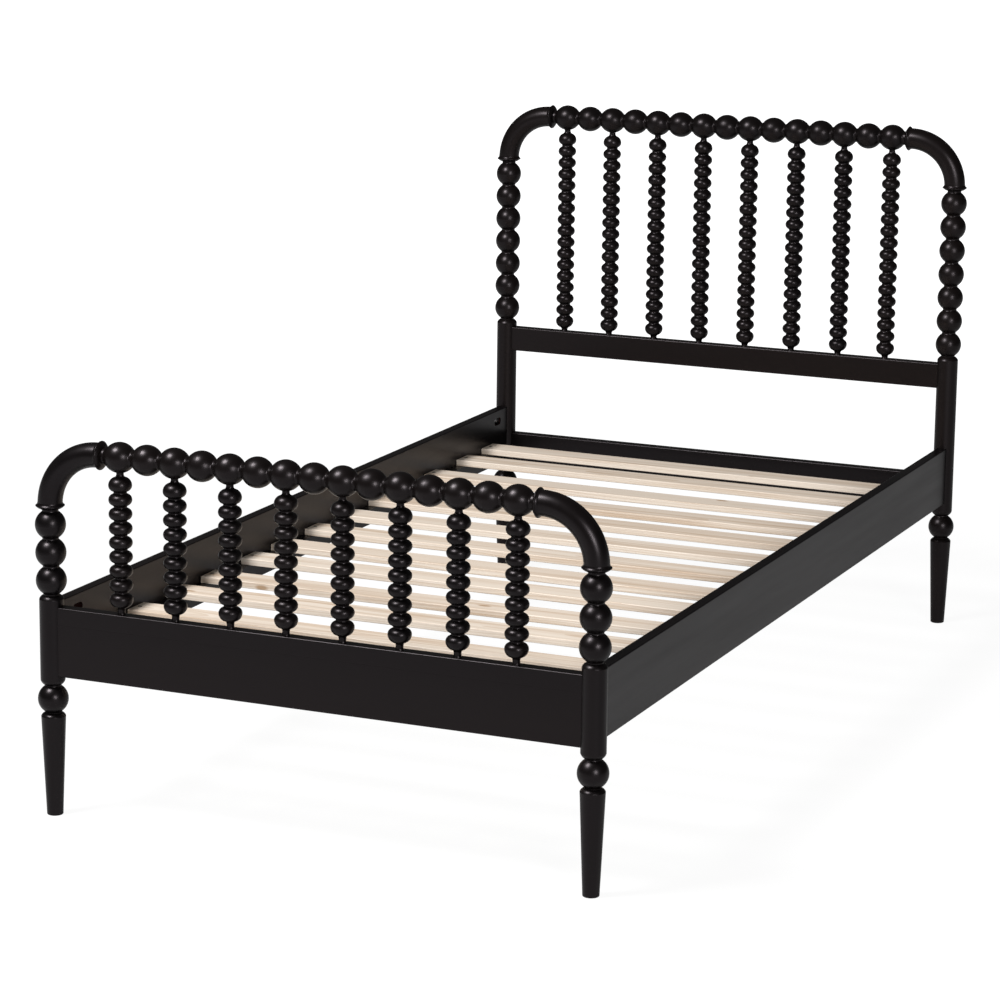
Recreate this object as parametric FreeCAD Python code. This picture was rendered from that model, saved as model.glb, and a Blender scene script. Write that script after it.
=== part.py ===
import FreeCAD, Part
import math
import os

# Spindle bed in twin size: two turned end frames, joined by side rails that carry a slatted base.
# Millimetres. X runs across the bed, Y along it with the head end at +Y, Z up with the feet on Z = 0.
# Left and right are as seen from the foot end.

Vector = FreeCAD.Vector
X_AXIS = Vector(1, 0, 0)
Y_AXIS = Vector(0, 1, 0)
Z_AXIS = Vector(0, 0, 1)

# Whole bed, between the axes of the corner posts
POST_SPACING_X = 1016.0
POST_SPACING_Y = 1976.0

# Fits
FIT = 0.1             # gap all round a glued or bolted part in its hole or housing
HOLE_END_GAP = 1.0    # room left beyond the end of a tenon, dowel or stud

# Turned stock shared by the posts, bends and ball rails
STOCK_D = 43.4
BALL_D = 53.7
BALL_NECK_D = 28.5
POST_BALL_CURVE = 27.4  # radius of a ball's outline along the axis, on posts and legs
RAIL_BALL_CURVE = 29.5  # the same on a ball rail, whose balls are a little longer
COLLAR_D = 50.8
COLLAR_RIM = 2.2      # width of the collar's rim along the axis
COLLAR_ROUND = 0.8    # how far the rim is rounded
COLLAR_RISE = 5.4     # length along the axis from neck to rim
COLLAR_CROWN = 1.0    # bulge of the collar between neck and rim
TENON_D = 18.0
TENON_LENGTH = 25.0

# Legs, from the floor up
LEG_TIP_D = 28.8
LEG_TIP_EDGE = 1.5    # rounding at the floor
LEG_TIP_CROWN = 0.3
LEG_TAPER = 179.5     # height of the straight taper
LEG_TOP = 6.6         # height of the shoulder above it
LEG_BALL_HALF = 24.9  # centre of the leg's ball to the necks above and below it
LEG_SHOULDER = 9.1    # height of the shoulder from the upper neck to the post's plain length

# Shoulder between the post's plain length and its lowest upper ball
TOP_SHOULDER = 7.6
TOP_SHOULDER_TO_BALL = 25.4
SHOULDER_CROWN = 1.2  # bulge of all three shoulders

# Balls above the posts' plain lengths and along the ball rails
FOOT_POST_BALLS = 3
HEAD_POST_BALLS = 7
RAIL_BALLS = 15
POST_SEAT = 34.8      # centre of a post's top ball to the seat of the bend
RAIL_SEAT = 37.7      # centre of a rail's last ball to the seat of the bend
BEND_R = 96.0         # radius of the bend's centre line
BEND_STUB = 5.0       # straight length of the bend next to the ball rail
BEND_LIP = 2.5        # how far the bend's ends flare out
BEND_LIP_LENGTH = 4.5
BEND_LIP_EDGE = 0.2   # start of the flare above the bend's surface
BEND_LIP_HOLLOW = 0.5

# Spindles
FOOT_BEAD_D = 40.8
HEAD_BEAD_D = 38.6
BEAD_GROOVE_D = 23.0
BEAD_PITCH = 25.05
BEAD_CURVE = 10.4      # radius of a bead's outline
END_BEAD_CURVE = 14.8  # the same towards the stem
END_BEAD_REACH = 19.2  # centre of an end bead to its stem
FOOT_BEAD_COUNT = 9
HEAD_BEAD_COUNT = 17
FOOT_FIRST_BEAD = 26.5  # top of the board to the centre of the lowest bead
HEAD_FIRST_BEAD = 22.2
TOP_BEAD_TO_RAIL = 48.4  # centre of the top bead to the axis of the ball rail
STEM_D = 13.0
STEM_FOOT_D = 15.0    # flare where the stem stands on the board
STEM_FLARE = 2.5
SPINDLE_TENON_D = 12.0
SPINDLE_TENON = 15.0  # depth of the spindle in the board and in the ball
SPINDLE_COUNT = 8     # under every second ball of the rail

# Boards of the end frames
BOARD_T = 24.0
BOARD_EDGE_R = 2.5
BOARD_HOUSING = 12.0  # axis of the post to the end of the board in its housing
PANEL_RISE = 9.0      # shoulder of the post to the lower edge of the low boards
FOOT_PANEL_H = 124.0
HEAD_PANEL_H = 70.4
MID_RAIL_RISE = 257.5  # lower edge of the head panel to the lower edge of the middle rail
MID_RAIL_H = 52.5
FOOT_BOARD_TO_SHOULDER = 12.1  # top of the board to the top of the post's plain length
HEAD_BOARD_TO_SHOULDER = 8.4

# Dowels between boards and posts
DOWEL_D = 10.0
DOWEL_REACH = 20.0    # depth in the board and in the post
DOWELS_FROM_STUD = (-21.5, 15.5, 53.5)  # heights from the lower stud of the side rail
MID_RAIL_DOWEL_EDGE = 14.0  # edge of the middle rail to the dowel

# Side rails
RAIL_T = 21.0
RAIL_H = 120.0
RAIL_RISE = 10.5      # lower edge of the low boards to the lower edge of the side rails
RAIL_EDGE_R = 2.0
RAIL_HOUSING = 17.0   # axis of the post to the end of the rail in its housing

# Stud, half moon and nut that hold each side rail to a post, one above the other
STUD_D = 6.0
STUD_CLEARANCE = 0.3
STUD_IN_POST = 30.0
STUD_PAST_NUT = 3.0
STUD_FROM_EDGE = 25.0
POCKET_FROM_POST = 70.0  # axis of the post to the middle of the pocket
POCKET_LENGTH = 34.0
POCKET_H = 16.0
POCKET_DEPTH = 16.5
HALF_MOON_T = 13.0
NUT_FLATS = 10.0
NUT_T = 5.0

# Ledges and slats
LEDGE_T = 20.0
LEDGE_H = 30.0
LEDGE_RISE = 8.0      # lower edge of the side rail to the underside of the ledge
LEDGE_OVERHANG = 8.0  # past the edge of the first and last slats' places
SLAT_COUNT = 13
SLAT_W = 60.0
SLAT_T = 13.0
SLAT_EDGE_R = 1.5
SLAT_END_GAP = 1.5
FIRST_SLAT = 136.0    # axis of the posts to the middle of the first slat's place
# The slats are laid by hand, so each end is a little off its place.
LEFT_SHIFTS = (-6.0, -5.0, 3.0, -14.0, 6.0, -11.0, -7.0, -5.0, 1.0, -20.0, -11.0, 14.0, 6.0)
RIGHT_SHIFTS = (-6.0, -12.0, 6.0, -4.0, 3.0, -15.0, -9.0, -6.0, -5.0, -11.0, -17.0, 2.0, -7.0)

# Countersunk wood screws, for the slats and for the ledges
SCREW_HEAD_D = 8.0
SCREW_HEAD_H = 2.4
SCREW_D = 4.0
SCREW_LENGTH = 33.0
SCREW_TIP = 3.0
LEDGE_SCREW_COUNT = 6  # in each ledge, in every second gap between slats

# Worked out from the sizes above
POST_X = POST_SPACING_X / 2
POST_Y = POST_SPACING_Y / 2
STOCK_R = STOCK_D / 2
BALL_R = BALL_D / 2
BALL_NECK_R = BALL_NECK_D / 2
COLLAR_R = COLLAR_D / 2
TENON_R = TENON_D / 2
BEAD_GROOVE_R = BEAD_GROOVE_D / 2
STEM_R = STEM_D / 2
STUD_R = STUD_D / 2
BEND_HEIGHT = BEND_R + POST_SEAT
RAIL_BALL_END = POST_X - BEND_R - BEND_STUB - RAIL_SEAT
LEG_BALL_Z = LEG_TAPER + LEG_TOP + LEG_BALL_HALF
PLAIN_Z = LEG_BALL_Z + LEG_BALL_HALF + LEG_SHOULDER
BOARD_Z = PLAIN_Z + PANEL_RISE
MID_RAIL_Z = BOARD_Z + MID_RAIL_RISE
FOOT_BOARD_TOP = BOARD_Z + FOOT_PANEL_H
HEAD_BOARD_TOP = MID_RAIL_Z + MID_RAIL_H
FOOT_RAIL_Z = FOOT_BOARD_TOP + FOOT_FIRST_BEAD + (FOOT_BEAD_COUNT - 1) * BEAD_PITCH + TOP_BEAD_TO_RAIL
HEAD_RAIL_Z = HEAD_BOARD_TOP + HEAD_FIRST_BEAD + (HEAD_BEAD_COUNT - 1) * BEAD_PITCH + TOP_BEAD_TO_RAIL
BOARD_HALF = POST_X - BOARD_HOUSING
RAIL_HALF = POST_Y - RAIL_HOUSING
RAIL_Z = BOARD_Z + RAIL_RISE
RAIL_INNER_X = POST_X - RAIL_T / 2
LOW_STUD_Z = RAIL_Z + STUD_FROM_EDGE
HIGH_STUD_Z = RAIL_Z + RAIL_H - STUD_FROM_EDGE
POCKET_R = POCKET_H / 2
POCKET_Y = POST_Y - POCKET_FROM_POST
HALF_MOON_Y = POCKET_Y + POCKET_LENGTH / 2 - POCKET_R
STUD_TIP_Y = HALF_MOON_Y - NUT_T - STUD_PAST_NUT
STUD_END_Y = RAIL_HALF + STUD_IN_POST
LEDGE_Z = RAIL_Z + LEDGE_RISE
LEDGE_X = RAIL_INNER_X - LEDGE_T / 2
SLAT_Z = LEDGE_Z + LEDGE_H
SLAT_HALF = RAIL_INNER_X - SLAT_END_GAP
SLAT_PITCH = 2 * (POST_Y - FIRST_SLAT) / (SLAT_COUNT - 1)
LEDGE_HALF = POST_Y - FIRST_SLAT + SLAT_W / 2 + LEDGE_OVERHANG


class Outline:
    """Half outline of a turned piece, from one end of its axis to the other, as radius and height."""

    def __init__(self, height):
        self.start = (0.0, height)
        self.here = self.start
        self.edges = []

    def point(self, place):
        return Vector(place[0], 0, place[1])

    def line(self, radius, height):
        end = (radius, height)
        if self.point(end).distanceToPoint(self.point(self.here)) > 1e-6:
            self.edges.append(Part.LineSegment(self.point(self.here), self.point(end)).toShape())
            self.here = end

    def arc(self, via, end):
        arc = Part.Arc(self.point(self.here), self.point(via), self.point(end))
        self.edges.append(arc.toShape())
        self.here = end

    def swell(self, crest, curve):
        """From the neck or groove where the outline is, through a cove, out to a crest."""
        near, join, far = cove_and_curve(crest, self.here, curve)
        self.arc(far, join)
        self.arc(near, crest)

    def sink(self, neck, curve):
        """From the crest where the outline is, through a cove, in to a neck or groove."""
        near, join, far = cove_and_curve(self.here, neck, curve)
        self.arc(near, join)
        self.arc(far, neck)

    def solid(self, height):
        self.line(0.0, height)
        self.line(*self.start)
        face = Part.Face(Part.Wire(self.edges))
        return face.revolve(Vector(0, 0, 0), Z_AXIS, 360)


def cove_and_curve(crest, neck, curve):
    """Curve of given radius at a crest that runs smoothly into a cove at a neck or groove.

    Gives a point on the curve, the point where they join and a point on the cove."""
    drop = crest[0] - neck[0]
    run = neck[1] - crest[1]
    radii = (drop * drop + run * run) / (2 * drop)
    cove = radii - curve
    angle = math.atan2(run, radii - drop)
    centre = (crest[0] - curve, crest[1])
    cove_centre = (neck[0] + cove, neck[1])
    near = (centre[0] + curve * math.cos(angle / 2), centre[1] + curve * math.sin(angle / 2))
    join = (centre[0] + curve * math.cos(angle), centre[1] + curve * math.sin(angle))
    far = (cove_centre[0] - cove * math.cos(angle / 2), cove_centre[1] - cove * math.sin(angle / 2))
    return near, join, far


def bulge(start, end, crown):
    """Point that a bulging arc passes half way, away from the axis."""
    run = end[1] - start[1]
    rise = end[0] - start[0]
    length = math.hypot(run, rise)
    push = crown * abs(run) / run / length
    return ((start[0] + end[0]) / 2 + run * push, (start[1] + end[1]) / 2 - rise * push)


def add_ball(outline, centre, half, curve):
    outline.line(BALL_NECK_R, centre - half)
    outline.swell((BALL_R, centre), curve)
    outline.sink((BALL_NECK_R, centre + half), curve)


def add_balls(outline, first, last, count, curve):
    pitch = (last - first) / (count - 1)
    for index in range(count):
        add_ball(outline, first + index * pitch, pitch / 2, curve)


def collar_points(seat, way):
    """Neck, rim and seat of a collar. Way is 1 where the seat is the upper end, else -1."""
    edge_r = COLLAR_R - COLLAR_ROUND
    rim = (edge_r, seat - way * COLLAR_RIM)
    neck = (BALL_NECK_R, rim[1] - way * COLLAR_RISE)
    return neck, rim, (COLLAR_R, seat - way * COLLAR_RIM / 2), (edge_r, seat)


def add_upper_collar(outline, seat):
    neck, rim, edge, corner = collar_points(seat, 1)
    outline.line(*neck)
    outline.arc(bulge(neck, rim, COLLAR_CROWN), rim)
    outline.arc(edge, corner)
    outline.line(TENON_R, seat)
    outline.line(TENON_R, seat + TENON_LENGTH)


def add_lower_collar(outline, seat):
    neck, rim, edge, corner = collar_points(seat, -1)
    outline.line(TENON_R, seat - TENON_LENGTH)
    outline.line(TENON_R, seat)
    outline.line(*corner)
    outline.arc(edge, rim)
    outline.arc(bulge(rim, neck, COLLAR_CROWN), neck)


def turned_post(board_top, shoulder_rise, ball_count, rail_z):
    """Corner post from the floor to the tenon for the bend, standing on the origin."""
    tip_r = LEG_TIP_D / 2
    plain_top = board_top + shoulder_rise
    top_ball = rail_z - BEND_HEIGHT
    first_ball = plain_top + TOP_SHOULDER + TOP_SHOULDER_TO_BALL
    tip_side = (tip_r, LEG_TIP_EDGE)
    outline = Outline(0.0)
    outline.line(tip_r - LEG_TIP_EDGE, 0.0)
    outline.arc(bulge((tip_r - LEG_TIP_EDGE, 0.0), tip_side, LEG_TIP_CROWN), tip_side)
    taper_top = (STOCK_R, LEG_TAPER)
    low_neck = (BALL_NECK_R, LEG_TAPER + LEG_TOP)
    outline.line(*taper_top)
    outline.arc(bulge(taper_top, low_neck, SHOULDER_CROWN), low_neck)
    add_ball(outline, LEG_BALL_Z, LEG_BALL_HALF, POST_BALL_CURVE)
    high_neck = (BALL_NECK_R, LEG_BALL_Z + LEG_BALL_HALF)
    outline.arc(bulge(high_neck, (STOCK_R, PLAIN_Z), SHOULDER_CROWN), (STOCK_R, PLAIN_Z))
    outline.line(STOCK_R, plain_top)
    top_neck = (BALL_NECK_R, plain_top + TOP_SHOULDER)
    outline.arc(bulge((STOCK_R, plain_top), top_neck, SHOULDER_CROWN), top_neck)
    add_balls(outline, first_ball, top_ball, ball_count, POST_BALL_CURVE)
    add_upper_collar(outline, top_ball + POST_SEAT)
    return outline.solid(top_ball + POST_SEAT + TENON_LENGTH)


def turned_ball_rail():
    """Ball rail along X, centred on the origin, with a collar and a tenon at each end."""
    seat = RAIL_BALL_END + RAIL_SEAT
    outline = Outline(-seat - TENON_LENGTH)
    add_lower_collar(outline, -seat)
    add_balls(outline, -RAIL_BALL_END, RAIL_BALL_END, RAIL_BALLS, RAIL_BALL_CURVE)
    add_upper_collar(outline, seat)
    rail = outline.solid(seat + TENON_LENGTH)
    rail.rotate(Vector(0, 0, 0), Y_AXIS, 90)
    return rail


def turned_spindle(beads, bead_d, first_bead):
    """Spindle that stands on the board's edge at the origin and ends inside a ball of the rail."""
    heights = [first_bead + index * BEAD_PITCH for index in range(beads)]
    top = heights[-1] + TOP_BEAD_TO_RAIL - BALL_R + SPINDLE_TENON
    outline = Outline(-SPINDLE_TENON)
    outline.line(SPINDLE_TENON_D / 2, -SPINDLE_TENON)
    outline.line(SPINDLE_TENON_D / 2, 0.0)
    outline.line(STEM_FOOT_D / 2, 0.0)
    outline.line(STEM_R, STEM_FLARE)
    outline.line(STEM_R, first_bead - END_BEAD_REACH)
    outline.swell((bead_d / 2, first_bead), END_BEAD_CURVE)
    for height in heights[1:]:
        outline.sink((BEAD_GROOVE_R, height - BEAD_PITCH / 2), BEAD_CURVE)
        outline.swell((bead_d / 2, height), BEAD_CURVE)
    outline.sink((STEM_R, heights[-1] + END_BEAD_REACH), END_BEAD_CURVE)
    outline.line(STEM_R, top)
    return outline.solid(top)


def rod(centre, along, radius, start, end):
    """Cylinder along an axis, from start to end as measured on that axis. Centre gives the other two."""
    base = Vector(centre)
    base = base - along * base.dot(along) + along * min(start, end)
    return Part.makeCylinder(radius, abs(end - start), base, along)


def block(x_range, y_range, z_range):
    size = Vector(x_range[1] - x_range[0], y_range[1] - y_range[0], z_range[1] - z_range[0])
    corner = Vector(x_range[0], y_range[0], z_range[0])
    return Part.makeBox(size.x, size.y, size.z, corner)


def round_long_edges(shape, along, radius):
    """Rounds the edges that run the whole length of a board."""
    length = along.dot(Vector(shape.BoundBox.XLength, shape.BoundBox.YLength, shape.BoundBox.ZLength))
    edges = [edge for edge in shape.Edges if abs(edge.Length - length) < 1e-6]
    return shape.makeFillet(radius, edges)


def end_board(y, z, height, gap=0.0):
    """Board across an end frame. A gap makes it the housing that the posts need for it."""
    half_t = BOARD_T / 2 + gap
    return block((-BOARD_HALF, BOARD_HALF), (y - half_t, y + half_t), (z - gap, z + height + gap))


def side_rail(side, gap=0.0):
    half_t = RAIL_T / 2 + gap
    x = side * POST_X
    return block((x - half_t, x + half_t), (-RAIL_HALF, RAIL_HALF), (RAIL_Z - gap, RAIL_Z + RAIL_H + gap))


def board_dowels(y, heights, gap=0.0, end_gap=0.0):
    """Dowels at both ends of a board, or the holes for them where gaps are given."""
    reach = DOWEL_REACH + end_gap
    dowels = []
    for side in (-1, 1):
        for z in heights:
            start = side * (BOARD_HALF - reach)
            end = side * (BOARD_HALF + reach)
            dowels.append(rod(Vector(0, y, z), X_AXIS, DOWEL_D / 2 + gap, start, end))
    return dowels


def spindle_places():
    pitch = 2 * RAIL_BALL_END / (SPINDLE_COUNT - 1)
    return [-RAIL_BALL_END + index * pitch for index in range(SPINDLE_COUNT)]


def spindle_holes(y, board_top, rail_z):
    """Holes for the spindles' ends, in the board's edge and in the balls of the rail."""
    depth = SPINDLE_TENON + HOLE_END_GAP
    holes = []
    for x in spindle_places():
        centre = Vector(x, y, 0)
        ball_bottom = rail_z - BALL_R
        holes.append(rod(centre, Z_AXIS, SPINDLE_TENON_D / 2 + FIT, board_top - depth, board_top))
        holes.append(rod(centre, Z_AXIS, STEM_R + FIT, ball_bottom - HOLE_END_GAP, ball_bottom + depth))
    return holes


def bend_lip(seat, inward):
    """Flared end of a bend, from its seat inward along the bend's axis."""
    rim = (STOCK_R + BEND_LIP, 0.0)
    start = (STOCK_R + BEND_LIP_EDGE, BEND_LIP_LENGTH)
    outline = Outline(0.0)
    outline.line(*rim)
    outline.arc(bulge(rim, start, -BEND_LIP_HOLLOW), start)
    lip = outline.solid(BEND_LIP_LENGTH)
    lip.Placement = FreeCAD.Placement(seat, FreeCAD.Rotation(Z_AXIS, inward))
    return lip


def corner_bend():
    """Quarter bend from the right post to the ball rail, with a socket in each end.

    The origin is where the axes of the post and the rail would cross."""
    post_seat = Vector(0, 0, -BEND_R)
    rail_seat = Vector(-BEND_R - BEND_STUB, 0, 0)
    end = Part.Face(Part.Wire(Part.makeCircle(STOCK_R, post_seat, Z_AXIS)))
    quarter = end.revolve(Vector(-BEND_R, 0, -BEND_R), -Y_AXIS, 90)
    stub = Part.makeCylinder(STOCK_R, BEND_STUB, rail_seat, X_AXIS)
    bend = quarter.fuse([stub, bend_lip(post_seat, Z_AXIS), bend_lip(rail_seat, X_AXIS)])
    depth = TENON_LENGTH + HOLE_END_GAP
    post_socket = Part.makeCylinder(TENON_R + FIT, depth, post_seat, Z_AXIS)
    rail_socket = Part.makeCylinder(TENON_R + FIT, depth, rail_seat, X_AXIS)
    return bend.removeSplitter().cut([post_socket, rail_socket])


def stud_heights():
    return (LOW_STUD_Z, HIGH_STUD_Z)


def corner_stud(side, end, z):
    return rod(Vector(side * POST_X, 0, z), Y_AXIS, STUD_R, end * STUD_TIP_Y, end * STUD_END_Y)


def post_stud_holes(side, end):
    hole_end = end * (STUD_END_Y + HOLE_END_GAP)
    start = end * (RAIL_HALF - HOLE_END_GAP)
    lines = [Vector(side * POST_X, 0, z) for z in stud_heights()]
    return [rod(line, Y_AXIS, STUD_R + FIT, start, hole_end) for line in lines]


def rail_pocket(side, end, z):
    """Slot in the inner face of a side rail for a half moon and its nut, with the stud's hole beyond it."""
    inner = side * RAIL_INNER_X
    bottom = side * (RAIL_INNER_X + POCKET_DEPTH)
    straight = POCKET_LENGTH / 2 - POCKET_R
    x_range = (min(inner, bottom), max(inner, bottom))
    near = rod(Vector(0, end * (POCKET_Y - straight), z), X_AXIS, POCKET_R, inner, bottom)
    far = rod(Vector(0, end * (POCKET_Y + straight), z), X_AXIS, POCKET_R, inner, bottom)
    y_range = sorted((end * (POCKET_Y - straight), end * (POCKET_Y + straight)))
    middle = block(x_range, y_range, (z - POCKET_R, z + POCKET_R))
    hole_line = Vector(side * POST_X, 0, z)
    hole = rod(hole_line, Y_AXIS, STUD_R + STUD_CLEARANCE, end * POCKET_Y, end * RAIL_HALF)
    return [near, far, middle, hole]


def half_moon(side, end, z):
    """Half-round washer that fills the end of the pocket, with its flat face to the nut."""
    start = side * (RAIL_INNER_X + POCKET_DEPTH - FIT)
    radius = POCKET_R - FIT
    moon = rod(Vector(0, end * HALF_MOON_Y, z), X_AXIS, radius, start, start - side * HALF_MOON_T)
    y_range = sorted((end * (HALF_MOON_Y - radius - 1), end * HALF_MOON_Y))
    away = block((-POST_SPACING_X, POST_SPACING_X), y_range, (z - POCKET_H, z + POCKET_H))
    hole_line = Vector(side * POST_X, 0, z)
    hole = rod(hole_line, Y_AXIS, STUD_R + STUD_CLEARANCE, end * STUD_TIP_Y, end * RAIL_HALF)
    return moon.cut([away, hole])


def hexagon_nut(side, end, z):
    corner = NUT_FLATS / math.sqrt(3)
    centre = Vector(side * POST_X, end * HALF_MOON_Y, z)
    points = []
    for index in range(7):
        angle = math.radians(60 * index)
        points.append(centre + Vector(corner * math.cos(angle), 0, corner * math.sin(angle)))
    prism = Part.Face(Part.makePolygon(points)).extrude(Y_AXIS * (-end * NUT_T))
    hole = rod(centre, Y_AXIS, STUD_R + FIT, end * STUD_TIP_Y, end * RAIL_HALF)
    return prism.cut(hole)


def wood_screw(gap=0.0):
    """Countersunk screw that points down from the origin, or its hole where a gap is given."""
    outline = Outline(-SCREW_LENGTH - gap)
    outline.line(SCREW_D / 2 + gap, SCREW_TIP - SCREW_LENGTH)
    outline.line(SCREW_D / 2 + gap, -SCREW_HEAD_H)
    outline.line(SCREW_HEAD_D / 2 + gap, 0.0)
    return outline.solid(0.0)


def slat_places():
    """Where each slat lies: y of its middle, and the angle it is turned by."""
    places = []
    for index in range(SLAT_COUNT):
        y = FIRST_SLAT - POST_Y + index * SLAT_PITCH
        left = LEFT_SHIFTS[index]
        right = RIGHT_SHIFTS[index]
        places.append((y + (left + right) / 2, math.degrees(math.atan2(right - left, 2 * LEDGE_X))))
    return places


def lay(shape, place):
    """Moves a shape from the middle of the bed to a slat's place."""
    y, angle = place
    shape.rotate(Vector(0, 0, 0), Z_AXIS, angle)
    shape.translate(Vector(0, y, 0))
    return shape


def slat_screws(place, gap=0.0):
    screws = []
    for side in (-1, 1):
        screw = wood_screw(gap)
        screw.translate(Vector(side * LEDGE_X, 0, SLAT_Z + SLAT_T))
        screws.append(lay(screw, place))
    return screws


def slat(place):
    board = block((-SLAT_HALF, SLAT_HALF), (-SLAT_W / 2, SLAT_W / 2), (SLAT_Z, SLAT_Z + SLAT_T))
    return lay(round_long_edges(board, X_AXIS, SLAT_EDGE_R), place).cut(slat_screws(place, FIT))


def ledge_screws(side, gap=0.0):
    """Screws that hold a ledge to its rail, half way between neighbouring slats."""
    middles = [y for y, angle in slat_places()]
    screws = []
    gaps = [(middles[index] + middles[index + 1]) / 2 for index in range(SLAT_COUNT - 1)]
    for y in gaps[::len(gaps) // LEDGE_SCREW_COUNT]:
        screw = wood_screw(gap)
        screw.rotate(Vector(0, 0, 0), Y_AXIS, -90 * side)
        screw.translate(Vector(side * (RAIL_INNER_X - LEDGE_T), y, LEDGE_Z + LEDGE_H / 2))
        screws.append(screw)
    return screws


def ledge(side):
    x_range = sorted((side * RAIL_INNER_X, side * (RAIL_INNER_X - LEDGE_T)))
    board = block(x_range, (-LEDGE_HALF, LEDGE_HALF), (LEDGE_Z, LEDGE_Z + LEDGE_H))
    holes = ledge_screws(side, FIT)
    for place in slat_places():
        holes = holes + slat_screws(place, FIT)
    return board.cut(holes)


def save(name, shape):
    shape.exportStep("parts/" + name + ".step")


def save_group(name, shapes):
    save(name, Part.makeCompound(shapes))


def save_board(name, board, along, edge_r, cuts):
    save(name, round_long_edges(board, along, edge_r).cut(cuts))


def save_end_frame(end, boards, rail_z, post, spindle):
    """One end frame. Boards gives name, lower edge, height and dowel heights, the spindles' board last."""
    word = "head" if end > 0 else "foot"
    y = end * POST_Y
    board_top = boards[-1][1] + boards[-1][2]
    holes = spindle_holes(y, board_top, rail_z)
    housings = []
    dowels = []
    for name, z, height, heights in boards:
        dowel_holes = board_dowels(y, heights, FIT, HOLE_END_GAP)
        housings = housings + [end_board(y, z, height, FIT)] + dowel_holes
        dowels = dowels + board_dowels(y, heights)
        save_board(name, end_board(y, z, height), X_AXIS, BOARD_EDGE_R, dowel_holes + holes)
    save_group(word + "_board_dowels", dowels)
    for side, hand in ((-1, "left"), (1, "right")):
        corner = post.copy()
        corner.translate(Vector(side * POST_X, y, 0))
        cuts = housings + [side_rail(side, FIT)] + post_stud_holes(side, end)
        save(word + "_" + hand + "_post", corner.cut(cuts))
        bend = corner_bend()
        if side < 0:
            bend.rotate(Vector(0, 0, 0), Z_AXIS, 180)
        bend.translate(Vector(side * POST_X, y, rail_z))
        save(word + "_" + hand + "_bend", bend)
    ball_rail = turned_ball_rail()
    ball_rail.translate(Vector(0, y, rail_z))
    save(word + "_ball_rail", ball_rail.cut(holes))
    for index, x in enumerate(spindle_places()):
        copy = spindle.copy()
        copy.translate(Vector(x, y, board_top))
        save(word + "_spindle_" + str(index + 1), copy)


def save_side(side, hand):
    """Side rail and ledge of one side."""
    cuts = ledge_screws(side, FIT)
    for end in (-1, 1):
        for z in stud_heights():
            cuts = cuts + rail_pocket(side, end, z)
    save_board(hand + "_side_rail", side_rail(side), Y_AXIS, RAIL_EDGE_R, cuts)
    save(hand + "_ledge", ledge(side))


def save_hardware():
    corners = [(side, end, z) for side in (-1, 1) for end in (-1, 1) for z in stud_heights()]
    save_group("rail_studs", [corner_stud(*corner) for corner in corners])
    save_group("rail_half_moons", [half_moon(*corner) for corner in corners])
    save_group("rail_nuts", [hexagon_nut(*corner) for corner in corners])
    save_group("ledge_screws", ledge_screws(-1) + ledge_screws(1))
    screws = []
    for place in slat_places():
        screws = screws + slat_screws(place)
    save_group("slat_screws", screws)


def main():
    os.makedirs("parts", exist_ok=True)
    low_dowels = [LOW_STUD_Z + rise for rise in DOWELS_FROM_STUD]
    mid_dowels = [MID_RAIL_Z + MID_RAIL_DOWEL_EDGE, HEAD_BOARD_TOP - MID_RAIL_DOWEL_EDGE]
    foot_boards = [("foot_panel", BOARD_Z, FOOT_PANEL_H, low_dowels)]
    head_boards = [
        ("head_lower_panel", BOARD_Z, HEAD_PANEL_H, low_dowels[:2]),
        ("head_mid_rail", MID_RAIL_Z, MID_RAIL_H, mid_dowels),
    ]
    foot_post = turned_post(FOOT_BOARD_TOP, FOOT_BOARD_TO_SHOULDER, FOOT_POST_BALLS, FOOT_RAIL_Z)
    head_post = turned_post(HEAD_BOARD_TOP, HEAD_BOARD_TO_SHOULDER, HEAD_POST_BALLS, HEAD_RAIL_Z)
    foot_spindle = turned_spindle(FOOT_BEAD_COUNT, FOOT_BEAD_D, FOOT_FIRST_BEAD)
    head_spindle = turned_spindle(HEAD_BEAD_COUNT, HEAD_BEAD_D, HEAD_FIRST_BEAD)
    save_end_frame(-1, foot_boards, FOOT_RAIL_Z, foot_post, foot_spindle)
    save_end_frame(1, head_boards, HEAD_RAIL_Z, head_post, head_spindle)
    save_side(-1, "left")
    save_side(1, "right")
    for index, place in enumerate(slat_places()):
        save("slat_" + format(index + 1, "02d"), slat(place))
    save_hardware()


main()
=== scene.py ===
import math

import bmesh
import bpy
from mathutils import Matrix, Vector


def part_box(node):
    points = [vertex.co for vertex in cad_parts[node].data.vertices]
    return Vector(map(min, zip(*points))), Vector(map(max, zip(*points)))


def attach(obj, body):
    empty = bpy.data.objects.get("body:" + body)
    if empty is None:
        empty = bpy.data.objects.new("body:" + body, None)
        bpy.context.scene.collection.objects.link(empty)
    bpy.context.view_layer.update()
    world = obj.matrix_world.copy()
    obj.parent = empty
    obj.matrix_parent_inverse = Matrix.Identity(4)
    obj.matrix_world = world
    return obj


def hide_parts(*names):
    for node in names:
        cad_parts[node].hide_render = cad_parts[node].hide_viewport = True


bl_info = {
    "name": "Spindle bed",
    "version": (1, 0, 0),
    "blender": (4, 5, 0),
    "location": "3D View > Sidebar > Spindle bed",
    "description": "Finishes, fixings and studio for a spindle bed with a slatted base",
    "category": "Object",
}

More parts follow.
